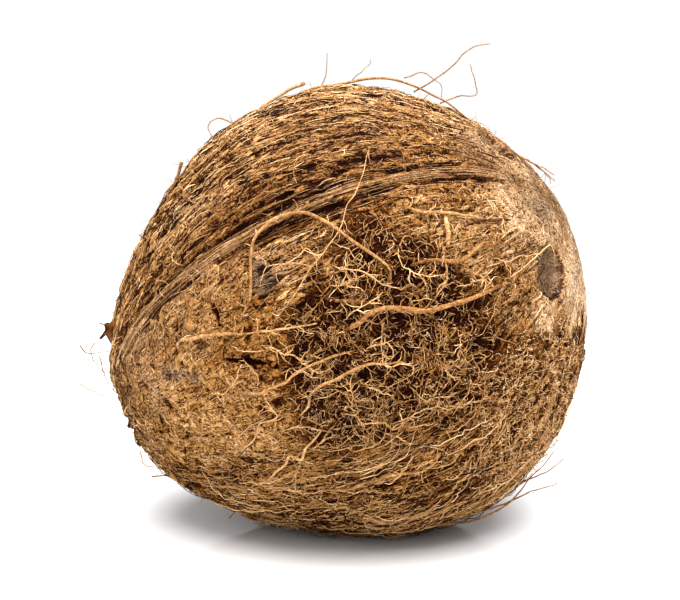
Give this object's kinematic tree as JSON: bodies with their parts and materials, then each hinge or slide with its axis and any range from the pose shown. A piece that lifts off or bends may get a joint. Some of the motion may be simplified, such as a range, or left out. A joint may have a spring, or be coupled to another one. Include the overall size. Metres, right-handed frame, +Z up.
{
  "type": "coconut",
  "caption": "Whole brown coconut with its husk taken off, an egg-shaped nut matted with coir fibre, lying on its side on a small flat spot.",
  "frame": {"origin": "on the surface it rests on, under the middle of the nut's bounding box", "axes": "+Z up, out of the surface it rests on; +X along the longest extent, towards the end with the eyes"},
  "size_m": [0.1238, 0.1196, 0.1172],
  "materials": {
    "coir": "matte"
  },
  "bodies": {
    "root": {"coconut": "coir"}
  },
  "joints": []
}
